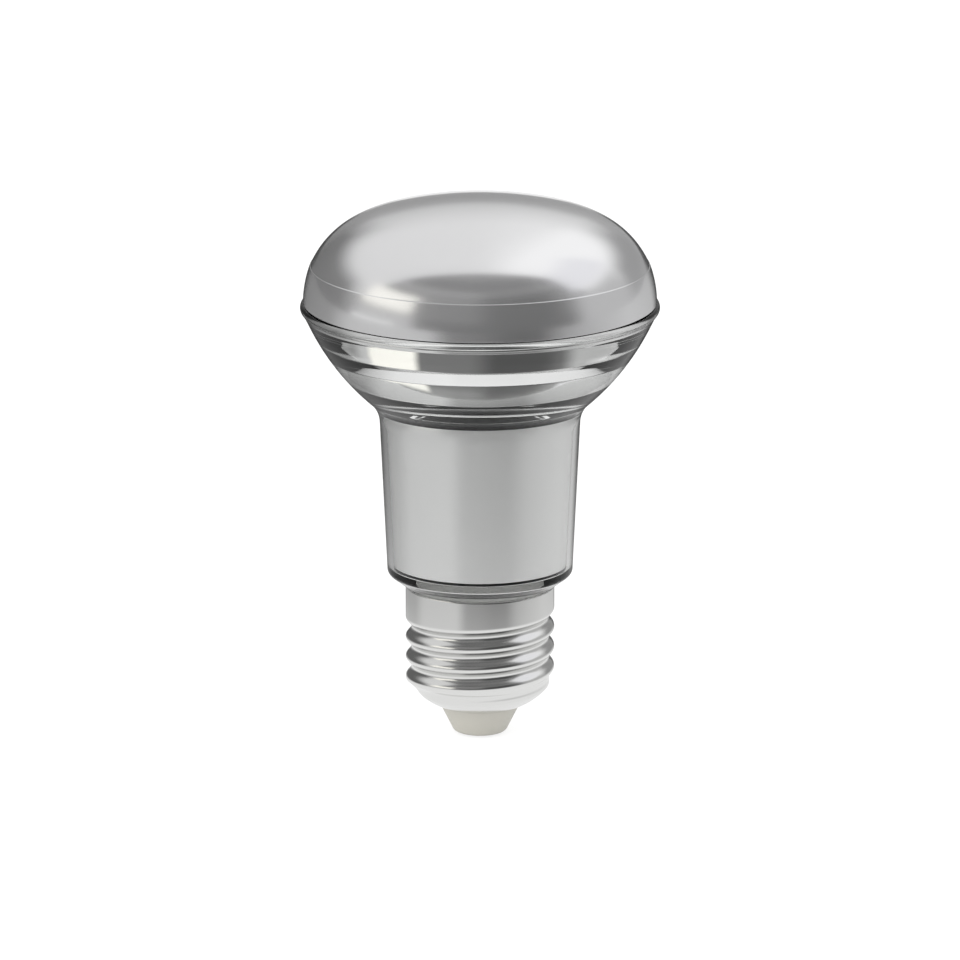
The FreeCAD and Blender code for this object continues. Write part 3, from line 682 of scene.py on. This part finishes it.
class BULB_OT_sleeve(BulbOperator, bpy.types.Operator):
    """Satin aluminium sleeve that shows through the neck"""

    bl_idname = "bulb.sleeve"
    bl_label = "Sleeve"

    def build(self, shape, sizes, colours):
        plate_bottom = shape.sink_top - sizes.sink_plate
        outline = Outline(0, shape.sink_top)
        outline.line(0, plate_bottom)
        outline.line(shape.sleeve_radius(plate_bottom) - sizes.sink_wall, plate_bottom)
        outline.line(shape.sleeve_radius(shape.sink_bottom) - sizes.sink_wall, shape.sink_bottom)
        outline.line(shape.sleeve_radius(shape.sink_bottom), shape.sink_bottom)
        outline.line(shape.sleeve_radius(shape.sink_top), shape.sink_top)
        outline.line(0, shape.sink_top)
        satin = finish("Satin aluminium", colours.sleeve, 0.30, spread=0.02, scale=300.0, lines=0.1,
                       Metallic=0.5)
        turned_piece("Sleeve", outline, satin, "heat_sink")


class BULB_OT_screw_shell(BulbOperator, bpy.types.Operator):
    """Thin nickel shell with its rolled thread"""

    bl_idname = "bulb.screw_shell"
    bl_label = "Screw Shell"

    LEAD_IN = 0.35
    FADE = 0.3
    ROWS_PER_PITCH = 22
    SEGMENTS = 256

    def groove(self, angle, height):
        """How deep the rolled groove is at a point of the shell."""
        share = angle / (2 * math.pi)
        turns_down = (self.thread_top - height) / self.pitch
        travel = round(turns_down + share) - share
        fade_in = smooth_step((travel + self.LEAD_IN) / self.FADE)
        fade_out = smooth_step((self.turns - travel) / self.FADE)
        wave = (1 + math.cos(2 * math.pi * (turns_down - travel))) / 2
        return self.depth * wave * fade_in * fade_out

    def build(self, shape, sizes, colours):
        self.pitch, self.depth = sizes.thread_pitch, sizes.thread_depth
        mouth = Vector((sizes.shell_mouth, low("screw_shell")))
        cone_top = Vector((shape.skirt_radius, mouth.y + sizes.cone_height))
        skirt_bottom = shape.cap_height - sizes.skirt_height
        self.thread_top = skirt_bottom - (self.LEAD_IN + 0.5) * self.pitch
        self.turns = (self.thread_top - cone_top.y + sizes.thread_run_on) / self.pitch
        centre, radius = bulged_arc(mouth, cone_top, sizes.cone_bulge)
        spacing = self.pitch / self.ROWS_PER_PITCH
        cone_rows = math.ceil((cone_top - mouth).length / spacing)
        low_spoke, sweep = mouth - centre, 2 * math.asin((cone_top - mouth).length / 2 / radius)
        stations = []
        for number in range(cone_rows):
            part = sweep * number / cone_rows
            spoke = low_spoke * math.cos(part) + Vector((-low_spoke.y, low_spoke.x)) * math.sin(part)
            stations.append((centre + spoke, spoke.normalized()))
        straight = shape.cap_height - cone_top.y
        rows = math.ceil(straight / spacing)
        for number in range(rows + 1):
            stations.append((Vector((cone_top.x, cone_top.y + straight * number / rows)), Vector((1, 0))))
        order = [(point, 0, out) for point, out in stations]
        order += [(point, sizes.shell_wall, out) for point, out in reversed(stations)]
        vertices = []
        for point, inset, out in order:
            start = point - out * inset
            for number in range(self.SEGMENTS):
                angle = 2 * math.pi * number / self.SEGMENTS
                distance = start.x - self.groove(angle, start.y)
                vertices.append((distance * math.cos(angle), distance * math.sin(angle), start.y))
        faces = []
        for row in range(len(order)):
            below, above = row * self.SEGMENTS, (row + 1) % len(order) * self.SEGMENTS
            for number in range(self.SEGMENTS):
                after = (number + 1) % self.SEGMENTS
                faces.append((below + number, below + after, above + after, above + number))
        mesh = bpy.data.meshes.new("Screw shell")
        mesh.from_pydata(vertices, [], faces)
        nickel = finish("Nickel plate", colours.nickel, 0.17, spread=0.02, scale=500.0, bump=0.02,
                        Metallic=1.0)
        add_piece("Screw_shell", mesh, nickel, "screw_shell")


def smooth_step(value):
    value = min(max(value, 0.0), 1.0)
    return value * value * (3 - 2 * value)


# The nodes that share a finish, its name, tone and roughness, and what else differs.
INNER_FINISHES = (
    ("base_insulator", "Insulator plastic", "insulator", 0.45, {"spread": 0.05, "scale": 700.0, "bump": 0.2}),
    ("centre_contact", "Contact brass", "contact", 0.25, {"spread": 0.06, "scale": 900.0, "Metallic": 1.0}),
    ("cap_cement", "Cement", (0.62, 0.60, 0.55), 0.85, {"spread": 0.2, "scale": 900.0, "bump": 0.6}),
    ("led_board", "White solder mask", (0.80, 0.80, 0.78), 0.35, {"scale": 900.0}),
    ("led_packages", "Phosphor", (0.85, 0.62, 0.16), 0.3, {"spread": 0.06, "scale": 1500.0}),
    ("board_screws", "Zinc plate", (0.62, 0.62, 0.61), 0.3,
     {"spread": 0.06, "scale": 900.0, "Metallic": 1.0}),
    ("driver_housing", "Housing plastic", (0.80, 0.80, 0.78), 0.5, {"scale": 500.0}),
    ("driver_board", "Green solder mask", (0.03, 0.18, 0.08), 0.4, {"spread": 0.1, "scale": 900.0}),
    ("bulk_capacitor output_capacitor", "Capacitor sleeve", (0.03, 0.035, 0.06), 0.3,
     {"spread": 0.1, "scale": 900.0}),
    ("transformer_core", "Ferrite", (0.06, 0.06, 0.065), 0.6, {"spread": 0.2, "scale": 1200.0, "bump": 0.3}),
    ("transformer_winding", "Winding tape", (0.62, 0.40, 0.05), 0.35, {"spread": 0.1, "scale": 900.0}),
    ("film_capacitor", "Film box", (0.45, 0.05, 0.03), 0.3, {"spread": 0.06, "scale": 900.0}),
    ("bridge_rectifier controller_chip output_diode", "Black package", (0.02, 0.02, 0.02), 0.5,
     {"spread": 0.2, "scale": 1200.0}),
    ("fuse_resistor", "Resistor lacquer", (0.20, 0.36, 0.20), 0.4, {"spread": 0.1, "scale": 1200.0}),
    ("led_wire_positive live_wire", "Red insulation", (0.45, 0.03, 0.02), 0.4,
     {"spread": 0.05, "scale": 900.0}),
    ("led_wire_negative neutral_wire", "Black insulation", (0.02, 0.02, 0.02), 0.4,
     {"spread": 0.2, "scale": 900.0}),
)


class BULB_OT_inner_pieces(BulbOperator, bpy.types.Operator):
    """Finishes of the pieces that keep their CAD shape"""

    bl_idname = "bulb.inner_pieces"
    bl_label = "Insulator, Contact and Driver"

    def build(self, shape, sizes, colours):
        for nodes, name, tone, roughness, values in INNER_FINISHES:
            tone = getattr(colours, tone) if isinstance(tone, str) else (*tone, 1)
            material = finish(name, tone, roughness, **values)
            for piece in nodes.split():
                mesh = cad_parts[piece].data
                mesh.materials.clear()
                mesh.materials.append(material)


# Studio

# Grey levels of the room that metal and glass mirror, each as (place, level). Elevations and
# azimuths are in degrees, the ceiling's place is the sideways share of a direction, and the
# floor's near part is by distance in metres.
ELEVATIONS = (-20, 90)
FRONT_WALL = (
    (-2, 0.06), (4, 0.10), (12, 0.18), (27, 0.16), (33, 0.24), (41, 0.20), (47, 0.32), (54, 0.15),
    (63, 0.16), (70, 0.22),
)
CEILING = (
    (-0.9, 0.74), (0.0, 0.80), (0.12, 0.90), (0.26, 1.05), (0.8, 1.08),
)
BACK_WALL_SHARE = (
    (-8, 0.38), (8, 0.38), (14, 0.42), (19, 0.74), (24, 0.84), (33, 1.0),
)
FAR_FLOOR = (
    (-177, 0.95), (-173, 0.05), (-162, 0.05), (-150, 0.20), (-112, 0.24), (-92, 0.52), (-34, 0.57),
    (-20, 0.16), (0, 0.12), (20, 0.05), (38, 0.06), (56, 0.34), (80, 0.48), (110, 0.60),
    (146, 0.50), (160, 0.06), (173, 0.05), (177, 0.95),
)
NEAR_FLOOR_SHARE = (
    (0.04, 1.0), (0.094, 0.35), (0.13, 0.20), (0.2, 0.05), (0.5, 0.0),
)
NEAR_FLOOR = (0.88, 0.88, 0.88)
CEILING_EDGE = 0.24  # slope of the ceiling's front edge
EDGE_SOFTNESS = (-0.04, 0.06)
PLAIN_LIGHT = (1.2, 1.2, 1.2)  # what matt surfaces see of the room
PLAIN_FLOOR = (1.1, 1.1, 1.1)
FLOOR_MATT = (0.8, 0.8, 0.8, 1)
FLOOR_GLOW = 0.80  # the camera sees this glow together with the next tone
SHOWN_MATT = (0.26, 0.26, 0.26, 1)
FLOOR_HALF = 8.0
LAMP_DISTANCE = 1.5
LAMP_SIDE = 0.9
LAMP_AIM = 0.05  # height that the lamps face
RIGHT_LAMP_SHARE = 0.2


def add_lamp(name, azimuth, elevation, level, tint):
    """A flat soft lamp that faces the bulb and isn't mirrored; level is the brightness of its face."""
    lamp = bpy.data.lights.new(name, "AREA")
    lamp.shape = "SQUARE"
    lamp.size = LAMP_SIDE
    lamp.energy = level * math.pi * LAMP_SIDE ** 2
    lamp.color = tint
    panel = bpy.data.objects.new(name, lamp)
    azimuth, elevation = math.radians(azimuth), math.radians(elevation)
    towards = Vector((
        math.sin(azimuth) * math.cos(elevation),
        -math.cos(azimuth) * math.cos(elevation),
        math.sin(elevation)))
    panel.location = Vector((0, 0, LAMP_AIM)) + towards * LAMP_DISTANCE
    panel.rotation_euler = towards.to_track_quat("Z", "Y").to_euler()
    panel.visible_camera = False
    panel.visible_glossy = False
    panel.visible_transmission = False
    bpy.context.scene.collection.objects.link(panel)


def ramp(tree, source, low_end, high_end, stops):
    """A ramp of grey levels over a range of values; each stop is (value, level)."""
    share = node(tree, "ShaderNodeMapRange", [("Value", source)])
    share.inputs["From Min"].default_value = low_end
    share.inputs["From Max"].default_value = high_end
    made = node(tree, "ShaderNodeValToRGB", [("Fac", share.outputs["Result"])])
    elements = made.color_ramp.elements
    places = [((value - low_end) / (high_end - low_end), level) for value, level in stops]
    elements[0].position, elements[-1].position = places[0][0], places[-1][0]
    for position, _ in places[1:-1]:
        elements.new(position)
    for element, (_, level) in zip(elements, places):
        element.color = (level, level, level, 1)
    return made.outputs["Color"]


def blended(tree, share, first, second):
    """Mixes two colours, each a socket or a plain colour, by a share from a socket."""
    mix = node(tree, "ShaderNodeMix", data_type="RGBA")
    tree.links.new(share, mix.inputs["Factor"])
    for socket, value in (("A", first), ("B", second)):
        if isinstance(value, tuple):
            mix.inputs[socket].default_value = (*value, 1)
        else:
            tree.links.new(value, mix.inputs[socket])
    return mix.outputs["Result"]


def angles(tree, x, y, z):
    """Azimuth from the camera's side towards +X, and elevation, of a direction, in degrees."""
    turn = calculated(tree, "ARCTAN2", x, calculated(tree, "MULTIPLY", y, -1.0))
    rise = calculated(tree, "ARCSINE", z)
    return [calculated(tree, "DEGREES", angle) for angle in (turn, rise)]


def light_patch():
    """A soft-edged panel on the studio's wall, between two azimuths and two elevations."""
    if "Light patch" in bpy.data.node_groups:
        return bpy.data.node_groups["Light patch"]
    group, given, result = new_group(
        "Light patch",
        [("Azimuth", FLOAT, 0.0), ("Elevation", FLOAT, 0.0), ("Left", FLOAT, -30.0), ("Right", FLOAT, 30.0),
         ("Bottom", FLOAT, 0.0), ("Top", FLOAT, 30.0), ("Softness", FLOAT, 5.0)],
        [("Mask", FLOAT)])
    masks = []
    sides = (("Azimuth", "Left"), ("Right", "Azimuth"), ("Elevation", "Bottom"), ("Top", "Elevation"))
    for larger, smaller in sides:
        past = calculated(group, "SUBTRACT", given.outputs[larger], given.outputs[smaller])
        share = calculated(group, "DIVIDE", past, given.outputs["Softness"])
        soft = node(group, "ShaderNodeMapRange", [("Value", share)], interpolation_type="SMOOTHSTEP")
        soft.inputs["From Min"].default_value = -1.0
        masks.append(soft.outputs["Result"])
    while len(masks) > 1:
        masks.append(calculated(group, "MULTIPLY", masks.pop(), masks.pop()))
    group.links.new(masks[0], result.inputs["Mask"])
    return group


def patch(name, left, right, bottom, top, softness, *tone):
    return {"name": name, "Left": left, "Right": right, "Bottom": bottom, "Top": top, "Softness": softness,
            "tone": tone if len(tone) == 3 else tone * 3}


ROOM_PATCHES = (
    patch("Dark front", 2, 56, -14, 46, 12, 0.08),
    patch("Dark left corner", -164, -100, -20, 27, 9, 0.13),
    patch("Dark right corner", 120, 164, 2, 27, 9, 0.30),
    patch("Right wall", 68, 118, -20, 30, 9, 0.50),
    patch("Right panel", 73, 124, 33, 58, 6, 0.90, 0.90, 0.93),
    patch("Low left wall", -90, -44, -20, 12, 6, 0.52),
    patch("Left strip", -92, -58, -4, 2, 2, 0.95),
    patch("Left softbox", -87, -46, 13, 37, 4, 1.12, 1.10, 1.03),
)


class BULB_OT_studio(bpy.types.Operator):
    """Pale floor, plain soft light and the camera at the photograph's angle"""

    bl_idname = "bulb.studio"
    bl_label = "Studio"
    bl_options = {"REGISTER", "UNDO"}

    def execute(self, context):
        studio = context.scene.bulb_studio
        self.add_world(context.scene)
        self.add_floor()
        add_lamp("Left lamp", -50, 30, studio.lamp_level, (1.0, 0.99, 0.96))
        add_lamp("Right lamp", 60, 40, studio.lamp_level * RIGHT_LAMP_SHARE, (0.98, 0.99, 1.0))
        self.add_camera(context.scene, studio)
        context.scene.view_settings.view_transform = "Standard"
        return {"FINISHED"}

    def add_world(self, scene):
        """White to the camera; the bulb sees a grey room with soft panels and a pale ceiling."""
        world = bpy.data.worlds.new("Studio")
        scene.world = world
        world.use_nodes = True
        tree = world.node_tree
        tree.nodes.clear()
        place = node(tree, "ShaderNodeTexCoord")
        parts = node(tree, "ShaderNodeSeparateXYZ", [("Vector", place.outputs["Generated"])])
        x, y, z = parts.outputs
        azimuth, elevation = angles(tree, x, y, z)
        front = ramp(tree, elevation, *ELEVATIONS, FRONT_WALL)
        across = ramp(tree, x, -1, 1, CEILING)
        upwards = ramp(tree, elevation, *ELEVATIONS, BACK_WALL_SHARE)
        behind = blended(tree, upwards, (0.0, 0.0, 0.0), across)
        # The ceiling's front edge is a straight line ahead of the bulb.
        edge = calculated(tree, "MULTIPLY_ADD", z, CEILING_EDGE, y)
        ceiling = node(tree, "ShaderNodeMapRange", [("Value", edge)], interpolation_type="SMOOTHSTEP")
        ceiling.inputs["From Min"].default_value, ceiling.inputs["From Max"].default_value = EDGE_SOFTNESS
        room = blended(tree, ceiling.outputs["Result"], front, behind)
        for panel in ROOM_PATCHES:
            mask = node(tree, "ShaderNodeGroup", node_tree=light_patch())
            mask.label = panel["name"]
            for socket, source in (("Azimuth", azimuth), ("Elevation", elevation)):
                tree.links.new(source, mask.inputs[socket])
            for socket in ("Left", "Right", "Bottom", "Top", "Softness"):
                mask.inputs[socket].default_value = panel[socket]
            room = blended(tree, mask.outputs["Mask"], room, panel["tone"])
        path = node(tree, "ShaderNodeLightPath")
        lit = blended(tree, path.outputs["Diffuse Depth"], room, PLAIN_LIGHT)
        seen = blended(tree, path.outputs["Is Camera Ray"], lit, (1.0, 1.0, 1.0))
        backdrop = node(tree, "ShaderNodeBackground", [("Color", seen)])
        node(tree, "ShaderNodeOutputWorld", [("Surface", backdrop.outputs[0])])

    def add_floor(self):
        """White to the camera; in metal and glass it is pale near the bulb and greyer at the walls."""
        mesh = bpy.data.meshes.new("Floor")
        square = [(x * FLOOR_HALF, y * FLOOR_HALF, 0) for x, y in ((-1, -1), (1, -1), (1, 1), (-1, 1))]
        mesh.from_pydata(square, [], [(0, 1, 2, 3)])
        floor = bpy.data.objects.new("Floor", mesh)
        bpy.context.scene.collection.objects.link(floor)
        material = bpy.data.materials.new("Studio floor")
        mesh.materials.append(material)
        material.use_nodes = True
        tree = material.node_tree
        tree.nodes.clear()
        place = node(tree, "ShaderNodeNewGeometry")
        parts = node(tree, "ShaderNodeSeparateXYZ", [("Vector", place.outputs["Position"])])
        x, y, z = parts.outputs
        azimuth, _ = angles(tree, x, y, z)
        far = ramp(tree, azimuth, -180, 180, FAR_FLOOR)
        distance = node(tree, "ShaderNodeVectorMath", [(0, place.outputs["Position"])], operation="LENGTH")
        near = ramp(tree, distance.outputs["Value"], 0, 0.5, NEAR_FLOOR_SHARE)
        room = blended(tree, near, far, NEAR_FLOOR)
        path = node(tree, "ShaderNodeLightPath")
        lit = blended(tree, path.outputs["Diffuse Depth"], room, PLAIN_FLOOR)
        mirrored = node(tree, "ShaderNodeEmission", [("Color", lit)])
        matt = node(tree, "ShaderNodeBsdfDiffuse", Color=FLOOR_MATT)
        glow = node(tree, "ShaderNodeEmission", Color=(1, 1, 1, 1), Strength=FLOOR_GLOW)
        shown_matt = node(tree, "ShaderNodeBsdfDiffuse", Color=SHOWN_MATT)
        shown = node(tree, "ShaderNodeAddShader", [(0, glow.outputs[0]), (1, shown_matt.outputs[0])])
        bright = calculated(
            tree, "MAXIMUM", path.outputs["Is Glossy Ray"], path.outputs["Is Transmission Ray"])
        first = node(tree, "ShaderNodeMixShader",
                     [(0, bright), (1, matt.outputs[0]), (2, mirrored.outputs[0])])
        second = node(tree, "ShaderNodeMixShader",
                      [(0, path.outputs["Is Camera Ray"]), (1, first.outputs[0]), (2, shown.outputs[0])])
        node(tree, "ShaderNodeOutputMaterial", [("Surface", second.outputs[0])])

    def add_camera(self, scene, studio):
        lens = bpy.data.cameras.new("Camera")
        lens.lens = studio.lens
        lens.sensor_width = 36
        lens.clip_end = 30
        camera = bpy.data.objects.new("Camera", lens)
        scene.collection.objects.link(camera)
        camera.location = studio.camera_place
        towards = Vector(studio.camera_aim) - Vector(studio.camera_place)
        camera.rotation_euler = towards.to_track_quat("-Z", "Y").to_euler()
        scene.camera = camera


OPERATORS = (
    BULB_OT_glass_body,
    BULB_OT_reflector,
    BULB_OT_front_cover,
    BULB_OT_seals,
    BULB_OT_sleeve,
    BULB_OT_screw_shell,
    BULB_OT_inner_pieces,
    BULB_OT_studio,
)


class BULB_PT_panel(bpy.types.Panel):
    """Lists the bulb's operators and settings"""

    bl_idname = "BULB_PT_panel"
    bl_label = "Reflector Bulb"
    bl_space_type = "VIEW_3D"
    bl_region_type = "UI"
    bl_category = "Reflector Bulb"

    def draw(self, context):
        for operator in OPERATORS:
            self.layout.operator(operator.bl_idname)
        for settings in (context.scene.bulb_colours, context.scene.bulb_studio, context.scene.bulb_sizes):
            for name in settings.bl_rna.properties.keys():
                if name not in ("rna_type", "name"):
                    self.layout.prop(settings, name)


CLASSES = (BulbSizes, BulbColours, StudioSettings) + OPERATORS + (BULB_PT_panel,)


def register():
    for item in CLASSES:
        bpy.utils.register_class(item)
    bpy.types.Scene.bulb_sizes = PointerProperty(type=BulbSizes)
    bpy.types.Scene.bulb_colours = PointerProperty(type=BulbColours)
    bpy.types.Scene.bulb_studio = PointerProperty(type=StudioSettings)


def unregister():
    del bpy.types.Scene.bulb_studio
    del bpy.types.Scene.bulb_colours
    del bpy.types.Scene.bulb_sizes
    for item in reversed(CLASSES):
        bpy.utils.unregister_class(item)


def main():
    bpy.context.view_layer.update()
    register()
    bpy.ops.bulb.glass_body()
    bpy.ops.bulb.reflector()
    bpy.ops.bulb.front_cover()
    bpy.ops.bulb.seals()
    bpy.ops.bulb.sleeve()
    bpy.ops.bulb.screw_shell()
    bpy.ops.bulb.inner_pieces()
    bpy.ops.bulb.studio()


if __name__ == "__main__":
    main()
